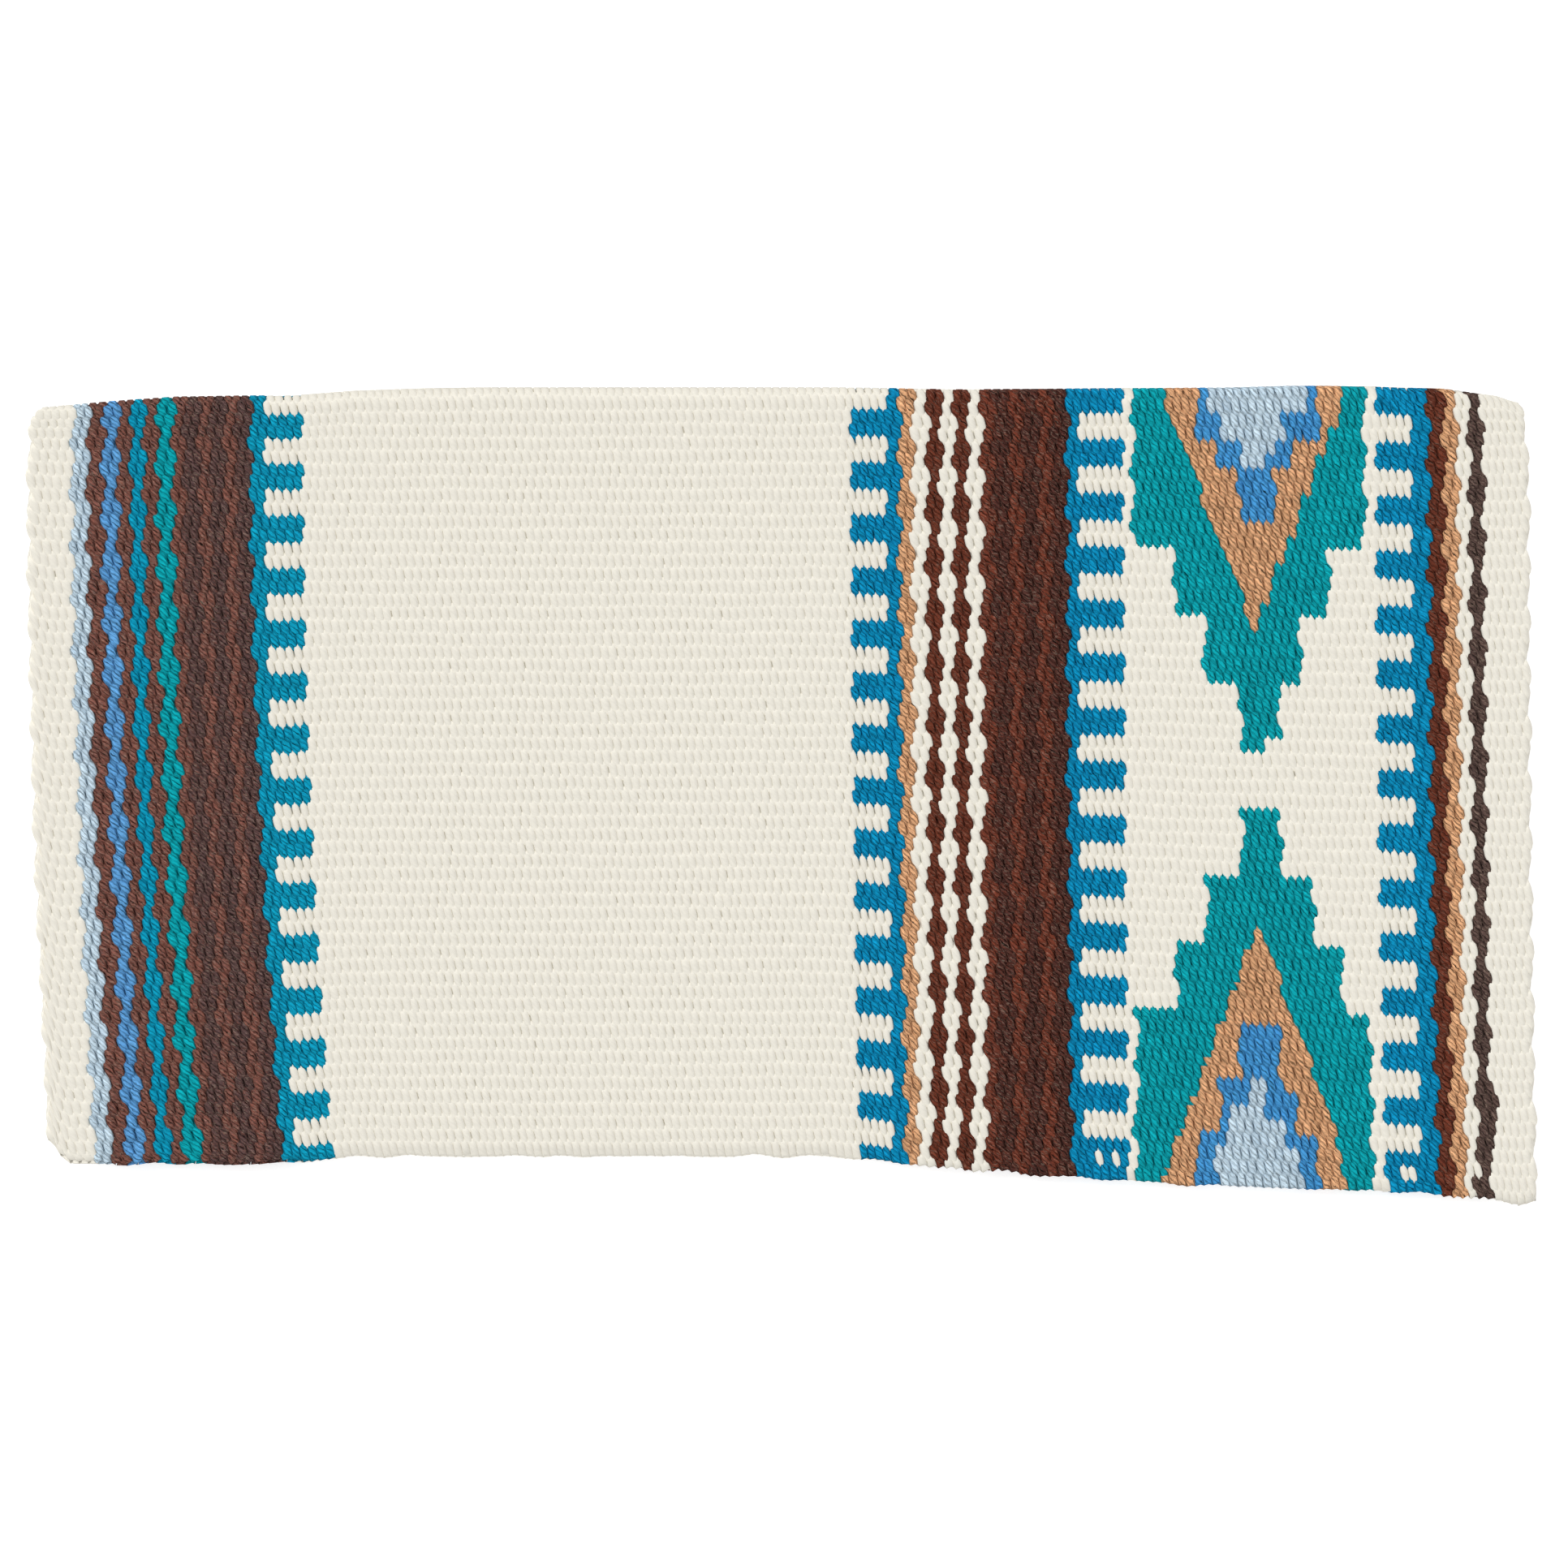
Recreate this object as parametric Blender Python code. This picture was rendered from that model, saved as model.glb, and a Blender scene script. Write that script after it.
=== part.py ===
"""Woven wool saddle blanket, folded once along the spine line and lying on its lower flap.

X runs along the horse's spine, Y from the hem to the fold, Z up. Metres. Each colour area of the
tapestry is a solid of its own. The cloth opens at the fold through two hinges, one on each side of the
spine rib, placed so that the cloth keeps its length when it lies flat.
"""
import math

import bmesh
import bpy
import numpy as np

# Driving dimensions
BLANKET_LENGTH = 0.965      # along the spine
FLAP_DROP = 0.506           # from the fold's outer face to the hem, mean of the hem line
CLOTH_THICKNESS = 0.010
SEAM_GAP = 0.0003           # clearance between neighbouring solids
LOWER_INSET = 0.002         # the lower flap's edges lie this far inside the upper flap's
FOLD_LIP = 0.003            # how far a flap reaches past the start of the bend
CUT_OVERRUN = 0.02          # how far a cutter runs past what it cuts

# The weaver's counts
PICKS_IN_LENGTH = 708       # weft yarns side by side along the spine
ROWS_IN_DROP = 60           # warp cords in one flap
TWILL_ROWS = 4              # rows after which the twill repeats
BEAD_PICKS = 1.5            # how far a bead stripe's edge swings to each side of its mean line
SCALLOP_PICKS = 1.0         # the same at the two woven ends
CUTTER_SIDES = 24
RIB_ARC_STEPS = 10
STRAIGHT_STEPS = 8

# How the cloth lies: the hem slides along the spine and the hem line waves, as shares
SHIFT_PLACE_SHARES = (0.0, 0.05, 0.15, 0.58, 0.69, 0.93, 1.0)
SHIFT_LENGTH_SHARES = (0.0130, 0.0165, 0.0220, 0.0045, 0.0035, 0.0070, 0.0050)
HEM_PLACE_SHARES = (0.0, 0.17, 0.23, 0.53, 0.62, 1.0)
HEM_DROP_SHARES = (0.991, 0.990, 0.980, 0.979, 0.997, 1.033)

# Worked out from them
FOLD_RADIUS = CLOTH_THICKNESS + SEAM_GAP / 2
FOLDED_HEIGHT = 2 * FOLD_RADIUS
MID_RADIUS = (CLOTH_THICKNESS + SEAM_GAP) / 2
PIVOT_OFFSET = MID_RADIUS * math.pi / 4
RIB_HALF_HEIGHT = math.sqrt(FOLD_RADIUS ** 2 - PIVOT_OFFSET ** 2)
KNUCKLE_RADIUS = RIB_HALF_HEIGHT - PIVOT_OFFSET
FOLD_START_ROW = (FOLD_RADIUS - FOLD_LIP) / FLAP_DROP * ROWS_IN_DROP

WOOLS = {  # linear colour of each dyed wool
    "cream_wool": (0.815, 0.775, 0.680),
    "pale_blue_wool": (0.510, 0.630, 0.720),
    "mid_blue_wool": (0.090, 0.290, 0.600),
    "turquoise_wool": (0.010, 0.300, 0.430),
    "comb_blue_wool": (0.008, 0.240, 0.430),
    "teal_wool": (0.008, 0.300, 0.330),
    "tan_wool": (0.500, 0.280, 0.150),
    "brown_wool": (0.125, 0.045, 0.030),
    "dark_brown_wool": (0.080, 0.045, 0.036),
    "red_brown_wool": (0.110, 0.030, 0.018),
}
WOOL_ROUGHNESS = 0.92

# Stripes from the left end to the right: name, wool, picks, and how its right edge runs
STRAIGHT, BEADS, TEETH_OUT, TEETH_BACK = "straight", "beads", "teeth out", "teeth back"
STRIPES = (
    ("end_band_left", "cream_wool", 20, STRAIGHT),
    ("pale_blue_stripe", "pale_blue_wool", 7, BEADS),
    ("brown_stripe_1", "brown_wool", 7, BEADS),
    ("mid_blue_stripe", "mid_blue_wool", 8, BEADS),
    ("brown_stripe_2", "brown_wool", 6, BEADS),
    ("turquoise_stripe", "turquoise_wool", 6, BEADS),
    ("brown_stripe_3", "brown_wool", 5, BEADS),
    ("teal_stripe", "teal_wool", 9, BEADS),
    ("brown_band_left", "brown_wool", 37, STRAIGHT),
    ("comb_1", "turquoise_wool", 6, TEETH_OUT),
    ("cream_field", "cream_wool", 294, TEETH_BACK),
    ("comb_2", "comb_blue_wool", 6, STRAIGHT),
    ("tan_stripe_1", "tan_wool", 7, BEADS),
    ("cream_stripe_1", "cream_wool", 6, BEADS),
    ("brown_bead_stripe_1", "red_brown_wool", 7, BEADS),
    ("cream_stripe_2", "cream_wool", 6, BEADS),
    ("brown_bead_stripe_2", "red_brown_wool", 6, BEADS),
    ("cream_stripe_3", "cream_wool", 7, BEADS),
    ("brown_band_right", "brown_wool", 40, STRAIGHT),
    ("comb_3", "comb_blue_wool", 7, TEETH_OUT),
    ("figure_ground", "cream_wool", 158, TEETH_BACK),
    ("comb_4", "comb_blue_wool", 7, STRAIGHT),
    ("red_brown_stripe", "red_brown_wool", 6, BEADS),
    ("tan_stripe_2", "tan_wool", 7, BEADS),
    ("cream_stripe_4", "cream_wool", 5, BEADS),
    ("dark_bead_stripe", "dark_brown_wool", 6, BEADS),
    ("end_band_right", "cream_wool", 22, None),
)
TOOTH_PICKS = {"comb_1": 18, "cream_field": 17, "comb_3": 22, "figure_ground": 18}
FIRST_TOOTH_ROWS = {"comb_1": 2, "cream_field": 2, "comb_3": 0, "figure_ground": 0}

# Stepped figures in the panel: picks from the panel's left edge, and the row where each step ends
FIGURE_LEFT_PICKS = 4       # cream column between the teeth of comb 3 and the figure
FOLD_FIGURE = {
    "teal": ("teal_wool", ((0, 12), (18, 12), (18, 17), (32, 17), (32, 22), (49, 22), (49, 27),
                           (68, 27), (68, 22), (78, 22), (78, 17), (92, 17), (92, 12), (110, 12))),
    "tan": ("tan_wool", ((15, 0), (56, 18), (97, 0))),
    "blue": ("mid_blue_wool", ((29, 3), (37, 3), (37, 6.5), (50, 6.5), (50, 10.5),
                               (67, 10.5), (67, 6.5), (76, 6.5), (76, 3), (87, 3))),
    "pale": ("pale_blue_wool", ((35, 2), (43, 2), (43, 3.5), (52, 3.5), (52, 6),
                                (65, 6), (65, 3.5), (71, 3.5), (71, 2), (79, 2))),
}
HEM_FIGURE = {
    "teal": ("teal_wool", ((0, 47), (20, 47), (20, 42), (33, 42), (33, 37), (49, 37), (49, 32),
                           (68, 32), (68, 37), (83, 37), (83, 42), (96, 42), (96, 47), (110, 47))),
    "tan": ("tan_wool", ((14, 60), (58, 41), (100, 60))),
    "blue": ("mid_blue_wool", ((31, 55.5), (40, 55.5), (40, 52.5), (50, 52.5), (50, 48),
                               (70, 48), (70, 52.5), (78, 52.5), (78, 55.5), (87, 55.5))),
    "pale": ("pale_blue_wool", ((38, 57), (44, 57), (44, 55), (54, 55), (54, 52),
                                (62, 52), (62, 55), (68, 55), (68, 57), (80, 57))),
}

# Neighbours that share one solid in the lower flap
LOWER_GROUPS = {
    "bead_stripes_left": ("brown_stripe_1", "mid_blue_stripe", "brown_stripe_2", "turquoise_stripe",
                          "brown_stripe_3", "teal_stripe"),
    "bead_stripes_middle": ("cream_stripe_1", "brown_bead_stripe_1", "cream_stripe_2",
                            "brown_bead_stripe_2", "cream_stripe_3"),
    "bead_stripes_right": ("cream_stripe_4", "dark_bead_stripe"),
}


def lay(pick, row, inset=0.0):
    """Where a point of the weave lies, seen from above: x from the left end, y from the fold line."""
    along = pick / PICKS_IN_LENGTH
    down = row / ROWS_IN_DROP
    slide = BLANKET_LENGTH * np.interp(along, SHIFT_PLACE_SHARES, SHIFT_LENGTH_SHARES)
    drop = FLAP_DROP * np.interp(along, HEM_PLACE_SHARES, HEM_DROP_SHARES)
    x = inset + along * (BLANKET_LENGTH - 2 * inset) + slide * down ** 2
    return x, -down * (drop - inset)


def straight_edge(pick):
    return [(pick, row) for row in np.linspace(FOLD_START_ROW, ROWS_IN_DROP, STRAIGHT_STEPS)]


def bead_edge(pick, swing):
    """A line that swings by one twill repeat, out and back, as bead stripes do."""
    points = [(pick, FOLD_START_ROW)]
    half = TWILL_ROWS / 2
    for turn in range(1, int(ROWS_IN_DROP / half)):
        points.append((pick + (swing if turn % 2 else -swing), turn * half))
    return points + [(pick, ROWS_IN_DROP)]


def toothed_edge(root, tip, first_row):
    """Teeth and spaces, each two rows high. The last tooth runs on to the hem."""
    points = [(tip if first_row < FOLD_START_ROW else root, FOLD_START_ROW)]
    half = TWILL_ROWS / 2
    for start in np.arange(first_row, ROWS_IN_DROP, TWILL_ROWS):
        if start > FOLD_START_ROW:
            points += [(root, start), (tip, start)]
        if start + TWILL_ROWS < ROWS_IN_DROP:
            points += [(tip, start + half), (root, start + half)]
    return points + [(tip, ROWS_IN_DROP)]


def stripe_edges(beaded):
    """Each stripe's left and right edge line, in picks and rows. Plain edges are for the lower flap."""
    lines, pick = [bead_edge(SCALLOP_PICKS, SCALLOP_PICKS)], 0
    for name, _wool, picks, edge in STRIPES:
        pick += picks
        if edge == STRAIGHT or (edge == BEADS and not beaded):
            lines.append(straight_edge(pick))
        elif edge == BEADS:
            lines.append(bead_edge(pick, BEAD_PICKS if len(lines) % 2 else -BEAD_PICKS))
        elif edge == TEETH_OUT:
            lines.append(toothed_edge(pick, pick + TOOTH_PICKS[name], FIRST_TOOTH_ROWS[name]))
        elif edge == TEETH_BACK:
            lines.append(toothed_edge(pick, pick - TOOTH_PICKS[name], FIRST_TOOTH_ROWS[name]))
    lines.append(bead_edge(PICKS_IN_LENGTH - SCALLOP_PICKS, SCALLOP_PICKS))
    return {name: (lines[i], lines[i + 1]) for i, (name, *_rest) in enumerate(STRIPES)}


def figure_line(steps, at_row, panel_left):
    """A figure's outline from its left foot to its right foot, both on the fold or the hem."""
    line = [(panel_left + pick, row) for pick, row in steps]
    if line[0][1] != at_row:
        line = [(line[0][0], at_row), *line, (line[-1][0], at_row)]
    return line


def cut_at_fold(line):
    """The same line with its feet on the fold end of the flap."""
    (x0, _), (x1, y1) = line[0], line[1]
    (x2, y2), (x3, _) = line[-2], line[-1]
    share = FOLD_START_ROW / y1
    last = FOLD_START_ROW / y2
    return [(x0 + (x1 - x0) * share, FOLD_START_ROW), *line[1:-1],
            (x3 + (x2 - x3) * last, FOLD_START_ROW)]


def plan(beaded=True):
    """{name: (wool, closed outline in picks and rows)} for every colour area of one flap."""
    edges, areas = stripe_edges(beaded), {}
    for name, wool, _picks, _edge in STRIPES:
        left, right = edges[name]
        areas[name] = (wool, left + right[::-1])
    before = [s[0] for s in STRIPES].index("figure_ground")
    panel_left = sum(s[2] for s in STRIPES[:before]) + TOOTH_PICKS["comb_3"] + FIGURE_LEFT_PICKS
    fold_lines = [cut_at_fold(figure_line(FOLD_FIGURE[part][1], 0, panel_left)) for part in FOLD_FIGURE]
    hem_lines = [figure_line(HEM_FIGURE[part][1], ROWS_IN_DROP, panel_left) for part in HEM_FIGURE]
    left, right = edges["figure_ground"]
    areas["figure_ground"] = ("cream_wool", left + hem_lines[0] + right[::-1] + fold_lines[0][::-1])
    figures = (("fold_figure", FOLD_FIGURE, fold_lines), ("hem_figure", HEM_FIGURE, hem_lines))
    for kind, parts, lines in figures:
        for i, part in enumerate(parts):
            inner = lines[i + 1][::-1] if i + 1 < len(lines) else []
            areas[f"{kind}_{part}"] = (parts[part][0], lines[i] + inner)
    return areas


def lower_plan():
    """The lower flap's areas: narrow neighbours share a solid, and so do the figures' two inner parts."""
    areas, edges = plan(beaded=False), stripe_edges(beaded=False)
    for group, members in LOWER_GROUPS.items():
        wool = areas[members[1]][0]
        areas[group] = (wool, edges[members[0]][0] + edges[members[-1]][1][::-1])
        for member in members:
            del areas[member]
    for kind in ("fold_figure", "hem_figure"):
        del areas[f"{kind}_pale"]
        whole = areas[f"{kind}_blue"]
        outer = len(FOLD_FIGURE["blue"][1]) + 2
        areas[f"{kind}_blue"] = (whole[0], whole[1][:outer])
    return areas


def inset_outline(points, distance):
    """The outline with every side moved inwards by the distance."""
    p = [np.array(q, float) for q in points]
    p = [q for i, q in enumerate(p) if np.linalg.norm(q - p[i - 1]) > distance / 10]
    area = sum(a[0] * b[1] - b[0] * a[1] for a, b in zip(p, p[1:] + p[:1]))
    turn = 1 if area > 0 else -1
    moved = []
    for i, here in enumerate(p):
        into, out = here - p[i - 1], p[(i + 1) % len(p)] - here
        into, out = into / np.linalg.norm(into), out / np.linalg.norm(out)
        n1, n2 = turn * np.array((-into[1], into[0])), turn * np.array((-out[1], out[0]))
        reach = distance / max(1 + float(n1 @ n2), 0.2)
        moved.append(here + reach * (n1 + n2))
    return moved


def wool_material(name):
    material = bpy.data.materials.get(name) or bpy.data.materials.new(name)
    material.use_nodes = True
    shader = material.node_tree.nodes["Principled BSDF"]
    shader.inputs["Base Color"].default_value = (*WOOLS[name], 1)
    shader.inputs["Roughness"].default_value = WOOL_ROUGHNESS
    shader.inputs["Metallic"].default_value = 0
    material.diffuse_color = (*WOOLS[name], 1)
    return material


def slab(name, outline, thickness, collection):
    """A flat outline as a solid mesh object, centred on its own plane."""
    curve = bpy.data.curves.new(name, "CURVE")
    curve.dimensions = "2D"
    curve.fill_mode = "BOTH"
    curve.extrude = thickness / 2
    spline = curve.splines.new("POLY")
    spline.points.add(len(outline) - 1)
    for point, (x, y) in zip(spline.points, outline):
        point.co = (x, y, 0, 1)
    spline.use_cyclic_u = True
    drawn = bpy.data.objects.new(name + "_outline", curve)
    collection.objects.link(drawn)
    bpy.context.view_layer.update()
    mesh = bpy.data.meshes.new_from_object(drawn.evaluated_get(bpy.context.evaluated_depsgraph_get()))
    bpy.data.objects.remove(drawn)
    bpy.data.curves.remove(curve)
    mesh.name = name
    welded = bmesh.new()
    welded.from_mesh(mesh)
    bmesh.ops.remove_doubles(welded, verts=welded.verts, dist=SEAM_GAP / 100)
    bmesh.ops.recalc_face_normals(welded, faces=welded.faces)
    welded.to_mesh(mesh)
    welded.free()
    piece = bpy.data.objects.new(name, mesh)
    collection.objects.link(piece)
    return piece


def knuckle_cutter(name, centre, collection):
    """A cylinder along X that leaves the running clearance round the spine rib's knuckle."""
    to_flats = math.cos(math.pi / CUTTER_SIDES)
    bpy.ops.mesh.primitive_cylinder_add(
        vertices=CUTTER_SIDES, radius=(KNUCKLE_RADIUS + SEAM_GAP) / to_flats,
        depth=BLANKET_LENGTH + 2 * CUT_OVERRUN, location=centre, rotation=(0, math.pi / 2, 0))
    cutter = bpy.context.object
    cutter.name = name
    cutter.hide_render = True
    cutter.display_type = "WIRE"
    for owner in list(cutter.users_collection):
        owner.objects.unlink(cutter)
    collection.objects.link(cutter)
    return cutter


def arc(centre, radius, start, end, steps):
    return [(centre[0] + radius * math.cos(a), centre[1] + radius * math.sin(a))
            for a in np.linspace(start, end, steps)]


def rib_profile():
    """The spine rib in section, y and z from the bend's centre: a half round with two knuckles."""
    waist = math.acos(PIVOT_OFFSET / KNUCKLE_RADIUS)
    edge = math.atan2(RIB_HALF_HEIGHT, PIVOT_OFFSET)
    outer = arc((0, 0), FOLD_RADIUS, -edge, edge, RIB_ARC_STEPS)
    upper = arc((PIVOT_OFFSET, PIVOT_OFFSET), KNUCKLE_RADIUS,
                math.pi / 2, 3 * math.pi / 2 - waist, RIB_ARC_STEPS)
    lower = arc((PIVOT_OFFSET, -PIVOT_OFFSET), KNUCKLE_RADIUS,
                math.pi / 2 + waist, 3 * math.pi / 2, RIB_ARC_STEPS)
    return outer + upper[1:] + lower[1:-1]


def main():
    for old in list(bpy.data.objects):
        bpy.data.objects.remove(old, do_unlink=True)
    scene = bpy.context.scene
    parts = bpy.data.collections.new("saddle_blanket")
    cutters = bpy.data.collections.new("cutters")
    scene.collection.children.link(parts)
    scene.collection.children.link(cutters)

    upper = {n: (w, inset_outline([lay(*q) for q in o], SEAM_GAP / 2)) for n, (w, o) in plan().items()}
    lower = {n: (w, inset_outline([lay(*q, LOWER_INSET) for q in o], SEAM_GAP / 2))
             for n, (w, o) in lower_plan().items()}
    reach = np.array([q for _w, outline in upper.values() for q in outline])
    middle_x = (reach[:, 0].min() + reach[:, 0].max()) / 2
    middle_y = reach[:, 1].min() / 2
    bend_y = -middle_y - FOLD_RADIUS
    mid_z = FOLDED_HEIGHT / 2

    lower_pivot = bpy.data.objects.new("lower_pivot", None)
    upper_pivot = bpy.data.objects.new("upper_pivot", None)
    lower_pivot.location = (0, bend_y + PIVOT_OFFSET, mid_z - PIVOT_OFFSET)
    upper_pivot.location = (0, bend_y + PIVOT_OFFSET, mid_z + PIVOT_OFFSET)
    for pivot in (lower_pivot, upper_pivot):
        parts.objects.link(pivot)
        print(pivot.name, [round(v, 6) for v in pivot.location])
    cut_low = knuckle_cutter("lower_knuckle_cutter", lower_pivot.location, cutters)
    cut_high = knuckle_cutter("upper_knuckle_cutter", upper_pivot.location, cutters)

    rib = slab("spine_rib", rib_profile(), BLANKET_LENGTH - SEAM_GAP, parts)
    rib.rotation_euler = (math.pi / 2, 0, math.pi / 2)
    rib.location = (BLANKET_LENGTH / 2 - middle_x, bend_y, mid_z)
    rib.data.materials.append(wool_material("cream_wool"))
    bpy.context.view_layer.update()
    rib.parent = lower_pivot
    rib.matrix_parent_inverse = lower_pivot.matrix_world.inverted()

    for prefix, areas, height, cutter, pivot in (
            ("lower", lower, CLOTH_THICKNESS / 2, cut_low, None),
            ("upper", upper, FOLDED_HEIGHT - CLOTH_THICKNESS / 2, cut_high, upper_pivot)):
        for name, (wool, outline) in areas.items():
            piece = slab(f"{prefix}_{name}", outline, CLOTH_THICKNESS, parts)
            piece.location = (-middle_x, -middle_y, height)
            piece.data.materials.append(wool_material(wool))
            cut = piece.modifiers.new("knuckle", "BOOLEAN")
            cut.operation = "DIFFERENCE"
            cut.solver = "EXACT"
            cut.object = cutter
            if pivot:
                bpy.context.view_layer.update()
                piece.parent = pivot
                piece.matrix_parent_inverse = pivot.matrix_world.inverted()


main()
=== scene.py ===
# %% [markdown]
# # A woven wool saddle blanket, yarn by yarn
# The real blanket is one thick cloth of wool, folded once. Thick wool cords, the warp, run along the
# horse's spine. Dyed yarns, the weft, run across them and are beaten down until they hide the warp.
# This lesson builds the cloth the way a loom does, so the pattern, the stepped figures and the wavy
# stripe edges all come out of the order of the yarns and need no picture.

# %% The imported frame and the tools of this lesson
import math

import bpy
import numpy as np
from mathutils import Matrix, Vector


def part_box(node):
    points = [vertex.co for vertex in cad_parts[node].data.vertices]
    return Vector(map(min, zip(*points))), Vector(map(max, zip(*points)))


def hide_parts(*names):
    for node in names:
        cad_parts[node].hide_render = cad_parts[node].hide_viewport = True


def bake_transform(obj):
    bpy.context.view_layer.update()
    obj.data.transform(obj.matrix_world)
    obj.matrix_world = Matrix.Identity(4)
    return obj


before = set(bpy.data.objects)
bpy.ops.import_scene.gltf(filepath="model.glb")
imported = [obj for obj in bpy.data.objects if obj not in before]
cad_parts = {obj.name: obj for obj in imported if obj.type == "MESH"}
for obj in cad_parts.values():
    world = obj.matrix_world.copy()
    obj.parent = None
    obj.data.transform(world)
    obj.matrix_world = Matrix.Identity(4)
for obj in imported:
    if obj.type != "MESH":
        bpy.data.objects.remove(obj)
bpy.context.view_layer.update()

# %% [markdown]
# ## Sizes
# Every length is in metres and repeats what the CAD part was built from. `rows` are counted from the
# fold to the hem, one for each warp cord, and `places` along the spine run from 0 to 1.

# %% Sizes of the cloth
BLANKET_LENGTH = 0.965      # along the spine
FLAP_DROP = 0.506           # from the fold to the hem
CLOTH_THICKNESS = 0.010
SEAM_GAP = 0.0003           # between neighbouring solids of the CAD
LOWER_INSET = 0.002         # the lower flap ends this far inside the upper one
ROWS = 60                   # warp cords in a flap
FOLD_RADIUS = CLOTH_THICKNESS + SEAM_GAP / 2
MID_RADIUS = (CLOTH_THICKNESS + SEAM_GAP) / 2

rib_low, rib_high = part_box("spine_rib")
LEFT_X = rib_low.x - SEAM_GAP / 2
FOLD_Y = rib_high.y
BEND_Y = FOLD_Y - FOLD_RADIUS
MID_Z = FOLD_RADIUS
print("left end", round(LEFT_X, 4), "fold", round(FOLD_Y, 4), "bend", round(BEND_Y, 4))

# %% [markdown]
# ## How the cloth lies
# The photographed blanket is folded in half and lies on its lower flap. Its hem has slid a little to
# the right and is not quite straight, and the fold sags at both ends. A cloth simulation could fold
# it, but its result would be hard to steer. Here one function turns a place in the weave into a point
# in space, so every yarn and cord lies in the same cloth, and each bend can be set by hand.

# %% A place in the weave becomes a point in space
# how far the hem has slid, as a share of the length, and how deep the flap is, as a share of its drop
SLIDE_PLACES = (0.0, 0.05, 0.15, 0.58, 0.69, 0.93, 1.0)
SLIDE_SHARES = (0.0148, 0.0170, 0.0220, 0.0045, 0.0035, 0.0070, 0.0050)
HEM_PLACES = (0.0, 0.004, 0.012, 0.13, 0.165, 0.195, 0.53, 0.62, 0.78, 0.92, 0.99, 1.0)
HEM_SHARES = (0.958, 0.976, 0.989, 0.989, 0.986, 0.979, 0.979, 0.997, 1.0165, 1.0255, 1.040, 1.036)
# how far the fold's line lies below a straight one, in metres
SAG_PLACES = (0.0, 0.013, 0.033, 0.054, 0.095, 0.176, 0.216, 0.257, 0.3, 0.56, 0.62, 0.80, 0.843, 0.867,
              0.907, 0.948, 0.985, 1.0)
SAG_DROPS = (0.0135, 0.0125, 0.0107, 0.0088, 0.0056, 0.0045, 0.0015, 0.0001, -0.0006, -0.0006, 0.0005, -0.0008,
             -0.0020, -0.0020, -0.0012, 0.0005, 0.0050, 0.0095)
SAG_REACH = 0.048           # the sag fades out this far from the fold
CORNER_PULL = 0.0065        # how far each end draws in at the fold
CORNER_REACH = 0.020
CORNER_PLACE_REACH = 0.04
FLAP_WAVE = 0.0009          # the upper flap lies in long, low waves, which grow towards its hem
WAVE_START = 1.0            # in radians, as are the next: across the length and down the drop
WAVE, CROSS_WAVE = (9.0, 2.2), (3.1, -2.0)
WANDER_WAVES = 7
WANDER_ALONG, WANDER_DOWN = (8, 70), (-0.9, 0.9)    # radians across the length, and from row to row


def wander(place, row, size, seed):
    """A gentle, repeatable unevenness: a sum of long waves with seeded directions."""
    draw = np.random.default_rng(seed)
    total = 0.0
    for _ in range(WANDER_WAVES):
        along, down = draw.uniform(*WANDER_ALONG), draw.uniform(*WANDER_DOWN)
        phase = draw.uniform(0, 2 * math.pi)
        total = total + np.sin(along * place + down * row + phase)
    return size * total / math.sqrt(WANDER_WAVES)


def cloth_point(place, row, height, side):
    """place 0-1 along the spine, row 0-60 from the fold, height outwards from the cloth's middle."""
    inset = 0.0 if side > 0 else LOWER_INSET
    down = row / ROWS
    slide = BLANKET_LENGTH * np.interp(place, SLIDE_PLACES, SLIDE_SHARES)
    drop = FLAP_DROP * np.interp(place, HEM_PLACES, HEM_SHARES) - inset
    run = down * drop
    corner = np.exp(-run / CORNER_REACH)
    x = LEFT_X + inset + place * (BLANKET_LENGTH - 2 * inset) + slide * down ** 2
    x = x + CORNER_PULL * corner * (np.exp(-place / CORNER_PLACE_REACH)
                                    - np.exp(-(1 - place) / CORNER_PLACE_REACH))
    sag = np.interp(place, SAG_PLACES, SAG_DROPS) * np.clip(1 - run / SAG_REACH, 0, 1) ** 2
    turn = np.clip(run / FOLD_RADIUS, 0, 1) * math.pi / 2
    reach = MID_RADIUS + height
    y = BEND_Y + reach * np.cos(turn) - np.maximum(run - FOLD_RADIUS, 0) - sag
    z = MID_Z + side * reach * np.sin(turn)
    if side > 0:
        wave = np.sin(WAVE[0] * place + WAVE_START + WAVE[1] * down)
        z = z + FLAP_WAVE * down * (1 + wave * np.sin(CROSS_WAVE[0] * place + CROSS_WAVE[1] * down))
    return np.stack(np.broadcast_arrays(x, y, z), axis=-1)


corners = cloth_point(np.array((0.0, 1.0, 0.0, 1.0)), np.array((0, 0, ROWS, ROWS)), 0.0, 1)
print("corners of the upper flap", np.round(corners, 3).tolist())

# %% [markdown]
# ## Camera
# The photo was taken from straight above through a long lens. An orthographic camera would come close,
# but a real lens also shows a trace of the cloth's edges, so this camera looks straight down through a
# long lens from far off. The cloth's upper face fills the same part of a square picture as in the photo.

# %% Camera
PICTURE_WIDTH = 1.0105      # how wide the square picture is at the cloth's upper face
PICTURE_CENTRE = (0.0018, 0.0049)
LENS, SENSOR = 110.0, 36.0  # millimetres

camera_data = bpy.data.cameras.new("camera")
camera_data.type = "PERSP"
camera_data.lens = LENS
camera_data.sensor_width = SENSOR
camera_data.clip_end = 20.0
camera = bpy.data.objects.new("camera", camera_data)
bpy.context.scene.collection.objects.link(camera)
camera_height = 2 * FOLD_RADIUS + PICTURE_WIDTH * LENS / SENSOR
camera.location = (*PICTURE_CENTRE, camera_height)
bpy.context.scene.camera = camera
print("camera", round(camera_height, 3), "m above the floor")

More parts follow.
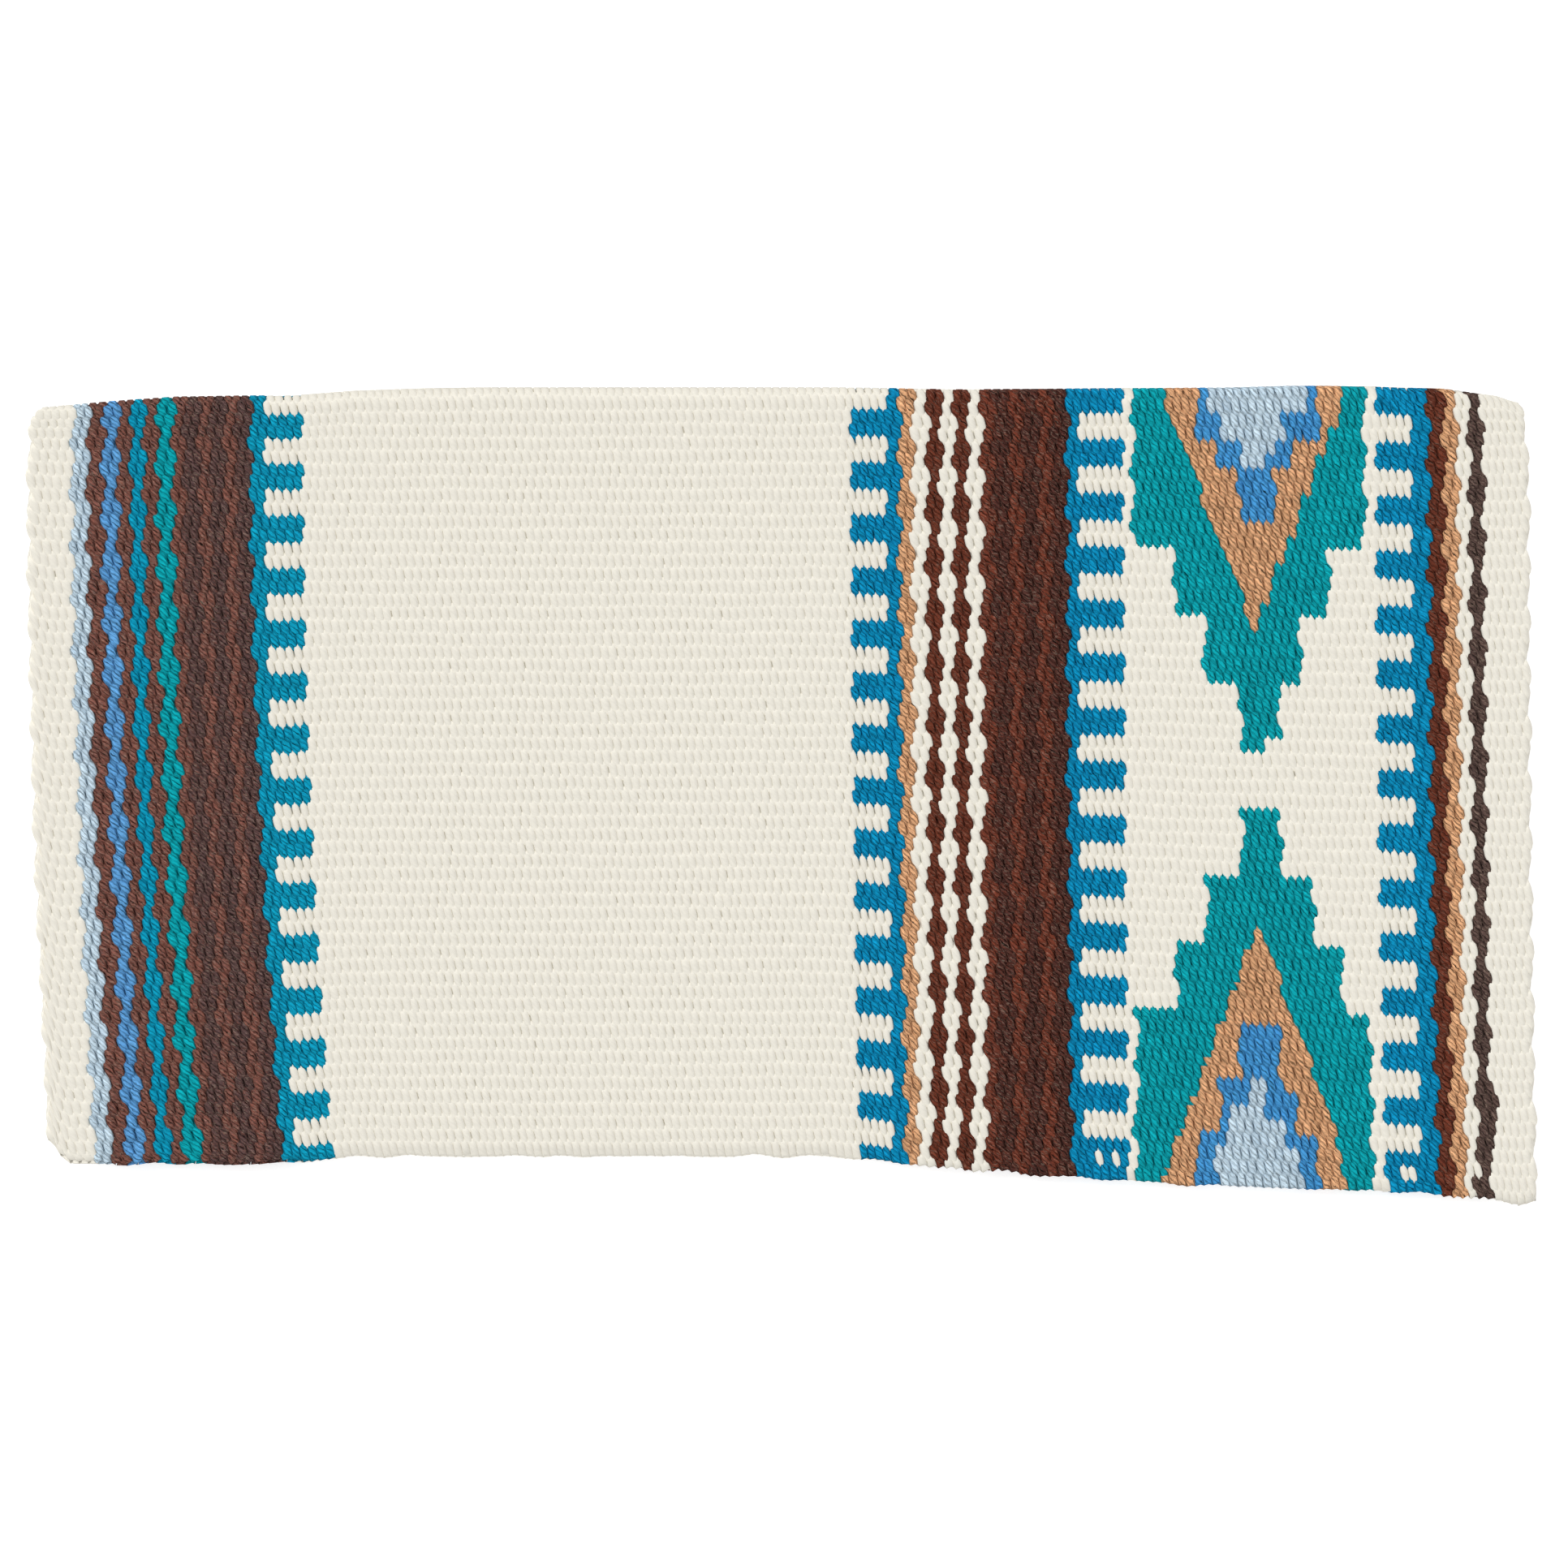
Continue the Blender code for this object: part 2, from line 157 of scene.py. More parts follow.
# %% [markdown]
# ## The wools
# Each wool is one dye lot: its colour, a second colour that is carded into it, and how strongly the
# two are mixed. The browns are heathered, with pale hairs among the dark ones, and the blues and teals
# are evenly dyed. One flat colour for each wool would look like paint, and a photo of wool would carry
# its own light, so two colours are mixed by noise that follows the yarn.

# %% The dye lots, in linear colour
# name: colour, colour of the other fibres, how heathered, how strongly the strands' painted groove shade and
# the locks and hairs show, how strongly stray hairs show
WOOLS = {
    "cream": ((0.644, 0.618, 0.548), (0.689, 0.651, 0.574), 0.30, 0.07, 0.0),
    "pale_blue": ((0.482, 0.596, 0.675), (0.158, 0.243, 0.335), 0.75, 1.05, 0.0),
    "mid_blue": ((0.095, 0.275, 0.520), (0.031, 0.122, 0.330), 0.70, 1.45, 0.0),
    "figure_blue": ((0.052, 0.250, 0.515), (0.020, 0.112, 0.326), 0.70, 1.40, 0.0),
    "turquoise": ((0.0035, 0.255, 0.392), (0.002, 0.119, 0.231), 0.70, 1.35, 0.0),
    "comb_blue": ((0.003, 0.211, 0.391), (0.002, 0.092, 0.226), 0.70, 1.45, 0.0),
    "teal": ((0.003, 0.295, 0.342), (0.002, 0.134, 0.168), 0.70, 1.35, 0.0),
    "tan": ((0.570, 0.306, 0.160), (0.249, 0.117, 0.050), 0.75, 1.70, 0.1),
    "brown": ((0.157, 0.0595, 0.0437), (0.056, 0.035, 0.035), 0.90, 1.80, 0.25),
    "chestnut": ((0.124, 0.0300, 0.0165), (0.040, 0.0166, 0.0140), 0.90, 1.90, 0.2),
    "dark_brown": ((0.079, 0.0485, 0.0405), (0.028, 0.0176, 0.0167), 0.80, 1.70, 0.25),
    "red_brown": ((0.112, 0.0275, 0.0145), (0.043, 0.012, 0.009), 0.75, 1.60, 0.15),
}

# %% [markdown]
# ## The weaver's order
# A weaver counts yarns. The list gives each stripe from left to right: its wool, how many yarns it
# has and where its right edge lies, in thousandths of the blanket's length. Where a comb stands, two
# yarns of its colour and two of cream take turns, and the weave itself draws the teeth. The pattern
# could be painted on a smooth sheet, but then the wavy edges would have to be drawn one by one.

# %% Stripes from left to right
STRIPES = (
    ("end_band_left", "cream", 19, 27.9),
    ("pale_blue_stripe", "pale_blue", 8, 39.0),
    ("brown_stripe_1", "brown", 6, 49.0),
    ("mid_blue_stripe", "mid_blue", 6, 59.0),
    ("brown_stripe_2", "brown", 6, 67.8),
    ("turquoise_stripe", "turquoise", 6, 76.3),
    ("brown_stripe_3", "brown", 6, 85.3),
    ("teal_stripe", "teal", 6, 96.0),
    ("brown_band_left", "brown", 36, 148.0),
    ("comb_1", "turquoise", 6, 156.6),
    ("comb_1_teeth", "turquoise", 18, 182.7),
    ("cream_field", "cream", 263, 547.4),
    ("comb_2_teeth", "comb_blue", 18, 571.8),
    ("comb_2", "comb_blue", 6, 581.4),
    ("tan_stripe_1", "tan", 6, 590.1),
    ("cream_stripe_1", "cream", 6, 600.1),
    ("brown_bead_stripe_1", "red_brown", 6, 608.8),
    ("cream_stripe_2", "cream", 6, 618.1),
    ("brown_bead_stripe_2", "red_brown", 6, 626.7),
    ("cream_stripe_3", "cream", 6, 636.5),
    ("brown_band_right", "chestnut", 36, 693.6),
    ("comb_3", "comb_blue", 6, 701.8),
    ("comb_3_teeth", "comb_blue", 22, 732.6),
    ("figure_ground", "cream", 120, 900.6),
    ("comb_4_teeth", "comb_blue", 18, 925.2),
    ("comb_4", "comb_blue", 6, 935.0),
    ("red_brown_stripe", "red_brown", 6, 945.3),
    ("tan_stripe_2", "tan", 6, 954.5),
    ("cream_stripe_4", "cream", 6, 962.8),
    ("dark_bead_stripe", "dark_brown", 6, 972.0),
    ("end_band_right", "cream", 22, 1000.0),
)
TEETH = {  # comb: the areas that take turns, and which of every four yarns carry the comb's colour
    "comb_1_teeth": ("comb_1", "cream_field", (0, 1)),
    "comb_2_teeth": ("comb_2", "cream_field", (0, 1)),
    "comb_3_teeth": ("comb_3", "figure_ground", (2, 3)),
    "comb_4_teeth": ("comb_4", "figure_ground", (2, 3)),
}
LAST_TOOTH_ROW = 57.2       # the right-hand combs run solid from here to the hem
SLIPS = (   # where the weaver's yarns slipped: stripe, its first and last yarn, first and last row, area
    ("end_band_right", 0, 3, 52.3, 55.6, "dark_bead_stripe"),
    ("cream_stripe_4", 4, 5, 58.9, 61.0, "dark_bead_stripe"),
    ("comb_3_teeth", 20, 21, 53.0, 61.0, "figure_ground"),
    ("comb_3_teeth", 6, 6, 58.0, 59.4, "figure_ground"),
    ("comb_3_teeth", 14, 14, 58.0, 59.4, "figure_ground"),
    ("comb_4_teeth", 8, 8, 58.0, 59.4, "figure_ground"),
    ("comb_4_teeth", 12, 12, 58.0, 59.4, "figure_ground"),
)
TWILL = 4                   # over two cords, under two
TWILL_START = 3 + 2 / 3     # cord of the first float of yarn 0
# Neither the fold nor the hem runs along one cord. These are the cord at the fold, and how far the cord
# at the hem is from the sixtieth, at places along the spine.
CORD_PLACES = (0.0, 0.09, 0.148, 0.165, 0.40, 0.56, 0.575, 0.595, 0.64, 0.66, 0.69, 0.73, 0.91, 0.93,
               0.945, 0.96, 0.975, 1.0)
CORD_AT_FOLD = (0.34, 0.34, 0.36, 0.24, 0.30, 0.36, 0.34, 0.03, 0.0, 0.0, 0.22, 0.22, 0.10, -0.05,
                -0.33, -0.33, -0.12, -0.10)
CORD_AT_HEM = (-0.18, -0.18, -0.30, -0.75, -0.85, -0.78, -0.85, -1.28, -1.28, -1.25, -0.82, -0.85, -1.00, -1.10,
               -1.33, -1.33, -1.10, -1.05)


def cord_of(place, row, side):
    """Which warp cord lies at a row: cords are counted through the fold, and are negative below it."""
    at_fold = np.interp(place, CORD_PLACES, CORD_AT_FOLD)
    at_hem = np.interp(place, CORD_PLACES, CORD_AT_HEM) if side > 0 else 0.0
    return side * row + at_fold + (at_hem - at_fold) * row / ROWS


def row_of(place, cord, side):
    """The row of a warp cord, the other way round."""
    at_fold = cord_of(place, 0.0, side)
    return (cord - at_fold) / ((cord_of(place, float(ROWS), side) - at_fold) / ROWS)


counts = [stripe[2] for stripe in STRIPES]
YARNS = sum(counts)
yarn_stripe = np.repeat(np.arange(len(STRIPES)), counts)
edges = np.array([0.0] + [stripe[3] / 1000 for stripe in STRIPES])
yarn_place = np.concatenate([a + (np.arange(n) + 0.5) * (b - a) / n
                             for a, b, n in zip(edges, edges[1:], counts)])
yarn_pitch = np.concatenate([np.full(n, (b - a) / n) for a, b, n in zip(edges, edges[1:], counts)])
print(YARNS, "yarns, pitch", round(BLANKET_LENGTH / YARNS * 1000, 2), "mm")

# %% [markdown]
# ## The stepped figures
# Two figures stand on the fold and on the hem, each in four colours, one inside the other. A weaver
# reads them from squared paper, and so does this lesson: their outlines are steps, given as places in
# the CAD's picks from the panel's left edge, and rows. Cutting them out as shapes would lose the way
# that a colour can only change where the yarn dives into the cloth.

# %% Figures
PICKS = 708                 # the CAD's picks in the blanket's length
PANEL_LEFT = 523            # the pick at the panel's left edge
FIGURE_PICKS = (-2.4, 108.2)        # the figures reach no farther than this
FOLD_FIGURE = {
    "teal": ((-1.2, 12), (18, 12), (18, 17), (32, 17), (32, 22), (49, 22), (49, 27),
             (68, 27), (68, 22), (78, 22), (78, 17), (92, 17), (92, 12), (110, 12)),
    "tan": ((12, 0), (30.5, 7.7), (56, 18.3), (82, 7.7), (101, 0)),
    "blue": ((29, 3.6), (37, 3.6), (37, 6.4), (49.3, 6.4), (49.3, 10.3),
             (66.3, 10.3), (66.3, 6.4), (73.5, 6.4), (73.5, 3.6), (86.5, 3.6)),
    "pale": ((35.5, 1.8), (41, 1.8), (41, 3.7), (51, 3.7), (51, 6.4),
             (62.5, 6.4), (62.5, 5.3), (65, 5.3), (65, 3.7), (70, 3.7), (70, 1.8), (80.5, 1.8)),
}
HEM_FIGURE = {
    "teal": ((-2.4, 53), (-1.5, 53), (-1.5, 47), (17, 47), (17, 42), (32, 42), (32, 37), (49, 37), (49, 32),
             (68, 32), (68, 37), (83, 37), (83, 42), (96, 42), (96, 47), (110, 47)),
    "tan": ((9.5, 60), (56.5, 40.2), (90, 54.9), (96.5, 60)),
    "blue": ((26, 56), (37.2, 56), (37.2, 52.4), (47.2, 52.4), (47.2, 48.3),
             (66.5, 48.3), (66.5, 53), (73.8, 53), (73.8, 55.7), (82.8, 55.7)),
    "pale": ((35, 57), (40.6, 57), (40.6, 55.3), (43.5, 55.3), (43.5, 53.8), (49.8, 53.8), (49.8, 52),
             (58.2, 52), (58.2, 54.5), (62, 54.5), (62, 55.5), (66.7, 55.5), (66.7, 57), (75.1, 57)),
}
STEP_WIDTH = 1e-6           # picks: an upright step is as steep as this makes it
FIGURE_WOOLS = {"teal": "teal", "tan": "tan", "blue": "figure_blue", "pale": "pale_blue"}

AREAS = {stripe[0]: stripe[1] for stripe in STRIPES if stripe[0] not in TEETH}
for kind in ("fold_figure", "hem_figure"):
    for part, wool in FIGURE_WOOLS.items():
        AREAS[f"{kind}_{part}"] = wool
AREA_NAMES = list(AREAS)


def reach_of(steps, pick):
    """The row where a figure ends, for each pick. A repeated pick in the table makes an upright step."""
    places, rows = zip(*steps)
    places = np.array(places, float) + np.arange(len(places)) * STEP_WIDTH
    return np.interp(pick, places, rows), (pick > places[0]) & (pick < places[-1])


def area_map(row_grid):
    """The area of every yarn (down) at every row given for it (across)."""
    found = np.zeros(row_grid.shape, int)
    index = {name: i for i, name in enumerate(AREA_NAMES)}
    turn = np.arange(YARNS) % TWILL
    for i, stripe in enumerate(STRIPES):
        mine = yarn_stripe == i
        if stripe[0] not in TEETH:
            found[mine] = index[stripe[0]]
            continue
        comb, ground, carriers = TEETH[stripe[0]]
        coloured = np.isin(turn[mine], carriers)[:, None] | (
            (row_grid[mine] > LAST_TOOTH_ROW) & (comb in ("comb_3", "comb_4")))
        found[mine] = np.where(coloured, index[comb], index[ground])
    names = [stripe[0] for stripe in STRIPES]
    for stripe, first, last, start, end, area in SLIPS:
        yarns = np.flatnonzero(yarn_stripe == names.index(stripe))[first:last + 1]
        rows = row_grid[yarns]
        found[yarns] = np.where((rows > start) & (rows < end), index[area], found[yarns])
    pick = (yarn_place * PICKS - PANEL_LEFT)[:, None]
    ground = (found == index["figure_ground"]) & (pick > FIGURE_PICKS[0]) & (pick < FIGURE_PICKS[1])
    for part in FIGURE_WOOLS:
        reach, inside = reach_of(FOLD_FIGURE[part], pick)
        found[ground & inside & (row_grid < reach)] = index[f"fold_figure_{part}"]
        reach, inside = reach_of(HEM_FIGURE[part], pick)
        found[ground & inside & (row_grid > reach)] = index[f"hem_figure_{part}"]
    return found


print(len(AREA_NAMES), "colour areas in each flap")

# %% [markdown]
# ## One yarn
# Each yarn goes over two warp cords and under two, and its neighbour does the same one row higher up.
# Seen from above, every pass over two cords is a plump leaf that leans a little. Between leaves the
# yarn is squeezed narrow and dives through the cloth. A curve with a round bevel would be shorter to
# write, but it can't be squeezed. So a yarn is a tube of rings whose middle line and cross section
# repeat every four rows, and the same tube makes the pattern on both faces. Spun wool is uneven, so no
# two yarns are equally fat and no two leaves quite alike.

# %% The shape of a yarn
SIDES = 6                   # corners of a yarn's cross section: across the yarn, upwards
SECTION = ((1.0, 0.0), (0.62, 0.94), (-0.62, 0.94), (-1.0, 0.0), (-0.62, -0.94), (0.62, -0.94))
YARN_REACH = 0.00335        # height of a float's middle line above the cloth's middle
FLOAT_STEPS = (0.0, 0.40, 0.70, 1.0)        # cords from a float's middle to where it crosses over
HALF_WIDTHS = (2.05, 1.95, 1.60, 1.05)      # at those steps, in yarn pitches
HALF_HEIGHTS = (0.00165, 0.00165, 0.0017, 0.0019)       # in metres
RISES = (1.0, 0.86, 0.52, 0.0)              # share of the middle line's height that is left
LEAN = 0.85                 # how far a leaf's ends lie from its middle line, in yarn pitches
LOFT = 0.2                  # undyed yarn is loftier, so its leaves are wider by this share
LOFT_FLATTENS = 0.5         # and their tops are flatter
SPREAD = {"comb_blue": 0.35, "turquoise": 0.30, "red_brown": 0.30, "dark_brown": 0.30}    # share of that loft
# cream areas as lofty as that; in the cream between two colours the yarn is thinner
LOFTY_STRIPES = ("end_band_left", "cream_field", "figure_ground", "end_band_right")
HEM_ROUND_ROWS = 1.0        # the cloth's edge is rounded over this many rows
NOSE_HEIGHT = 0.25          # share of a yarn's thickness that is left at the edge
NOSE_ROW = 59.86            # one more ring keeps the edge round
HEM_RAGGED = 0.16           # how unevenly the yarns turn back at the hem, in rows
HEM_RAGGED_ROWS = 1.5       # and over how many rows this begins
HEM_WANDER = (4, 0.5)       # how quickly that changes along the hem, and how much
LEAF_UNLIKE = (0.18, 0.13, 0.05)    # how far leaves differ: in rows, in yarn pitches, in height
LEAST_UNLIKE = 0.4          # share of that difference in the leaves without loft
LEAF_DRAWS = 80             # random numbers for each yarn, more than it has floats
FATNESS = 0.04              # how much yarns differ, and again how much each one differs along its way
FAT_WAVE = (0.5, 1.1)       # radians from row to row
STRAY = 0.12                # how far a yarn strays to the side, in yarn pitches
STRAY_WAVE = (0.15, 0.5)
ANY_PHASE = (0, 6.28)
ROW_WANDER, PLACE_WANDER = 0.035, 0.0003    # in rows, and as a share of the length
# painted shade in the gaps between leaves: it starts here, grows over this many cords, and is this strong at
# ends and sides
PAINTED_SHADE_FROM, PAINTED_SHADE_OVER, PAINTED_SHADE_ENDS, PAINTED_SHADE_SIDES = 0.3, 0.4, 0.8, 0.45
SIDE_CORNER = 0.9           # corners of the section farther out than this are its sides
SEEDS = {"yarn": {1: 11, -1: 12}, "leaf": {1: 31, -1: 32}, "rows": 5, "places": 6, "hem": 8,
         "twist": 3, "tint": 21, "lot": 22}

first_float = (TWILL_START - np.arange(YARNS)) % TWILL


def rings_of(side):
    """Rows of every yarn's rings: closest where a float ends, so the ends are blunt as in beaten wool."""
    steps = np.array([-s for s in FLOAT_STEPS[:0:-1]] + list(FLOAT_STEPS[:-1]))
    floats = np.arange(-3, ROWS // 2 + 3) * side
    cords = first_float[:, None] + (2 * floats[:, None] + steps[None, :]).ravel()[None, :]
    rows = np.clip(row_of(yarn_place[:, None], cords, side), 0, ROWS)
    return np.sort(np.pad(rows, ((0, 0), (0, 1)), constant_values=NOSE_ROW), axis=1)


def float_of(cord):
    """The float that each point of a yarn belongs to, and how far from its middle the point is."""
    away = cord - first_float[:, None]
    number = np.round(away / 2)
    return number.astype(int), away - 2 * number


def cells_of(side):
    """For each yarn and each stretch between two rings: which float it is part of, and its row."""
    place = yarn_place[:, None]
    number, _ = float_of(cord_of(place, (ring_rows[side][:, 1:] + ring_rows[side][:, :-1]) / 2, side))
    return number, np.abs(row_of(place, first_float[:, None] + 2 * number, side))


def yarn_rings(side):
    """Points of every ring of every yarn in one flap: yarns x rings x sides x 3."""
    row = ring_rows[side]
    number, away = float_of(cord_of(yarn_place[:, None], row, side))
    outward = 1 - 2 * (number % 2)
    draw = np.random.default_rng(SEEDS["yarn"][side])
    each = (YARNS, 1)
    fat = 1 + FATNESS * draw.standard_normal(each) + FATNESS * np.sin(
        draw.uniform(*FAT_WAVE, each) * row + draw.uniform(*ANY_PHASE, each))
    stray = STRAY * np.sin(draw.uniform(*STRAY_WAVE, each) * row + draw.uniform(*ANY_PHASE, each))
    nose = np.sqrt(np.clip(1 - (np.maximum(row - ROWS + HEM_ROUND_ROWS, 0) / HEM_ROUND_ROWS) ** 2, 0, 1))
    pitch = yarn_pitch[:, None]
    sideways = (LEAN * outward * np.sin(away * math.pi / 2) + stray) * pitch
    full = np.where(lofty_yarn[:, None], 1.0, loft_of["elsewhere"][areas[side]]) * loft_of["area"][areas[side]]
    full = np.pad(full, ((0, 0), (0, 1)), mode="edge")
    # no two leaves are alike: each one's middle lies a little up or down the yarn, to one side and lower
    unlike = np.random.default_rng(SEEDS["leaf"][side]).uniform(-1, 1, (3, YARNS, LEAF_DRAWS))
    unlike = unlike[:, np.arange(YARNS)[:, None], number % LEAF_DRAWS]
    unlike = unlike * np.maximum(full, LEAST_UNLIKE) * (1 - np.minimum(np.abs(away), 1))
    unlike = unlike * np.clip(row, 0, 1) * np.clip(ROWS - 1 - row, 0, 1)
    row = row + LEAF_UNLIKE[0] * unlike[0]
    sideways = sideways + LEAF_UNLIKE[1] * unlike[1] * pitch
    half_width = np.interp(np.abs(away), FLOAT_STEPS, HALF_WIDTHS) * fat * pitch * (1 + LOFT * full)
    half_height = np.interp(np.abs(away), FLOAT_STEPS, HALF_HEIGHTS) * (NOSE_HEIGHT + (1 - NOSE_HEIGHT) * nose)
    rise = np.interp(np.abs(away), FLOAT_STEPS, RISES)
    height = YARN_REACH * outward * rise ** (1 - LOFT_FLATTENS * full) * nose
    height = height * (1 - LEAF_UNLIKE[2] * np.abs(unlike[2]))
    across, upward = np.array(SECTION).T
    place = (yarn_place[:, None] + sideways)[..., None] + half_width[..., None] * across
    lift = height[..., None] + half_height[..., None] * upward
    lift = np.clip(lift, -CLOTH_THICKNESS / 2, CLOTH_THICKNESS / 2)
    # painted shade: a leaf's colour darkens towards its ends and along its sides, where the gaps between leaves
    # lie; in cream it is painted light
    painted_gap_shading = np.clip((np.abs(away) - PAINTED_SHADE_FROM) / PAINTED_SHADE_OVER, 0, 1)[..., None] * PAINTED_SHADE_ENDS
    painted_gap_shading = painted_gap_shading + PAINTED_SHADE_SIDES * (np.abs(across) > SIDE_CORNER)
    rows = np.broadcast_to(row[..., None], place.shape)
    turn = (TWILL_START - np.interp(place, yarn_place, np.arange(YARNS))) * 2 * math.pi / TWILL
    uneven = HEM_RAGGED * (np.cos(turn) + wander(place * HEM_WANDER[0], 0.0, HEM_WANDER[1], SEEDS["hem"]))
    rows = rows + uneven * np.clip((rows - ROWS + HEM_RAGGED_ROWS) / HEM_RAGGED_ROWS, 0, 1) ** 2
    # none at the fold, where the yarns of both flaps meet
    rows = rows + wander(place, rows, ROW_WANDER, SEEDS["rows"]) * (rows < ROWS - 1) * np.clip(rows, 0, 1)
    place = place + wander(place, rows, PLACE_WANDER, SEEDS["places"])
    return cloth_point(place, rows, lift, side), np.clip(painted_gap_shading, 0, 1)


ring_rows = {side: rings_of(side) for side in (1, -1)}
cells = {side: cells_of(side) for side in (1, -1)}
areas = {side: area_map(cells[side][1]) for side in (1, -1)}


def cut_on_the_slant(side):
    """The left edge of the tan at the hem cuts through the floats, so it is smoother than the steps."""
    row = (ring_rows[side][:, 1:] + ring_rows[side][:, :-1]) / 2
    reach, inside = reach_of(HEM_FIGURE["tan"][:2], (yarn_place * PICKS - PANEL_LEFT)[:, None])
    teal, tan = (AREA_NAMES.index(f"hem_figure_{part}") for part in ("teal", "tan"))
    near = inside & ((areas[side] == teal) | (areas[side] == tan))
    return np.where(near, np.where(row > reach, tan, teal), areas[side])


areas = {side: cut_on_the_slant(side) for side in (1, -1)}
lofty_yarn = np.isin(yarn_stripe, [i for i, stripe in enumerate(STRIPES) if stripe[0] in LOFTY_STRIPES])
loft_of = {     # for each area: its own loft, and how much of it is left outside the lofty stripes
    "area": np.array([1.0 if name in LOFTY_STRIPES else SPREAD.get(wool, 0.0) for name, wool in AREAS.items()]),
    "elsewhere": np.array([0.0 if wool == "cream" else 1.0 for wool in AREAS.values()]),
}
rings, painted_gap_shadings = {}, {}
for side in (1, -1):
    rings[side], painted_gap_shadings[side] = yarn_rings(side)
print("rings", rings[1].shape, "lowest", round(float(rings[-1][..., 2].min()), 5),
      "highest", round(float(rings[1][..., 2].max()), 5))

# %% [markdown]
# ## From tubes to meshes
# The yarns are sorted by colour area, so each area of the pattern is a piece that can be given another
# wool. A yarn that changes colour is closed with a small cap where it dives into the cloth. Millions of
# faces are too many for bmesh calls one by one, so whole arrays are handed to the mesh at once.

# %% A mesh from arrays
CAP_UV = 0.001              # a spot of the maps for the caps, which nobody sees
CAP_VALUE = 0.5


def mesh_from(name, points, quads, caps=(), uvs=None, face_values=None, point_values=None):
    """Builds a mesh object from numpy arrays. caps are longer faces, all with the same corner count."""
    caps = np.asarray(caps, int).reshape(len(caps), -1) if len(caps) else np.zeros((0, SIDES), int)
    mesh = bpy.data.meshes.new(name)
    mesh.vertices.add(len(points))
    mesh.vertices.foreach_set("co", points.astype(np.float32).ravel())
    corners = np.concatenate([quads.ravel(), caps.ravel()]).astype(np.int32)
    mesh.loops.add(len(corners))
    mesh.loops.foreach_set("vertex_index", corners)
    starts = np.concatenate([np.arange(len(quads)) * 4, len(quads) * 4 + np.arange(len(caps)) * caps.shape[1]])
    mesh.polygons.add(len(starts))
    mesh.polygons.foreach_set("loop_start", starts.astype(np.int32))
    for uv_name, quad_uvs in (uvs or {}).items():
        layer = mesh.uv_layers.new(name=uv_name, do_init=False)
        all_uvs = np.concatenate([quad_uvs.reshape(-1, 2), np.full((caps.size, 2), CAP_UV)])
        layer.data.foreach_set("uv", all_uvs.astype(np.float32).ravel())
    mesh.update(calc_edges=True)
    mesh.polygons.foreach_set("use_smooth", np.arange(len(starts)) < len(quads))
    for value_name, values in (face_values or {}).items():
        layer = mesh.attributes.new(value_name, "FLOAT", "FACE")
        all_values = np.concatenate([values, np.full(len(caps), CAP_VALUE)])
        layer.data.foreach_set("value", all_values.astype(np.float32))
    for value_name, values in (point_values or {}).items():
        layer = mesh.attributes.new(value_name, "FLOAT", "POINT")
        layer.data.foreach_set("value", values.astype(np.float32))
    mesh.validate()
    piece = bpy.data.objects.new(name, mesh)
    bpy.context.scene.collection.objects.link(piece)
    return piece


# %% [markdown]
# ## Lots of wool
# The brown bands are woven from two lots of brown wool: five reddish yarns, then seven dark ones. Every
# other stripe has one lot, which still differs a little from yarn to yarn. Two materials would do, but
# one number for each yarn is enough.

# %% Which lot each yarn comes from
REDDISH_YARNS, DARK_YARNS = 5, 7
LOT_SPREAD = 0.25           # how far the yarns of one lot differ, from 0 to 1
DARK_LOT = 0.75             # and how far the dark lot lies from the reddish one
yarn_streak = np.random.default_rng(SEEDS["lot"]).uniform(0.0, LOT_SPREAD, YARNS)
for i, stripe in enumerate(STRIPES):
    if stripe[0].startswith("brown_band"):
        band = np.flatnonzero(yarn_stripe == i)
        dark = (band - band[0]) % (REDDISH_YARNS + DARK_YARNS) >= REDDISH_YARNS
        yarn_streak[band] += DARK_LOT * dark
print("dark yarns", int((yarn_streak >= DARK_LOT).sum()))

# %% [markdown]
# ## One piece for each colour area
# Each piece gets two maps. "yarn" counts metres along a yarn and turns around it, so that the strands in
# the material twist with it. "OFBake" lays the yarns side by side in columns, for baked textures. An
# automatic unwrap couldn't do the first. A wide area is cut where the fold begins to sag.

# %% The yarns of one area as a mesh
ROW_LENGTH = FLAP_DROP / ROWS
BAKE_COLUMNS = 16
BAKE_ACROSS, BAKE_DOWN = (0.04, 0.92), (0.003, 0.994)   # where a yarn starts in its column, and its share
SHORTEST_STRETCH = 0.001    # rows


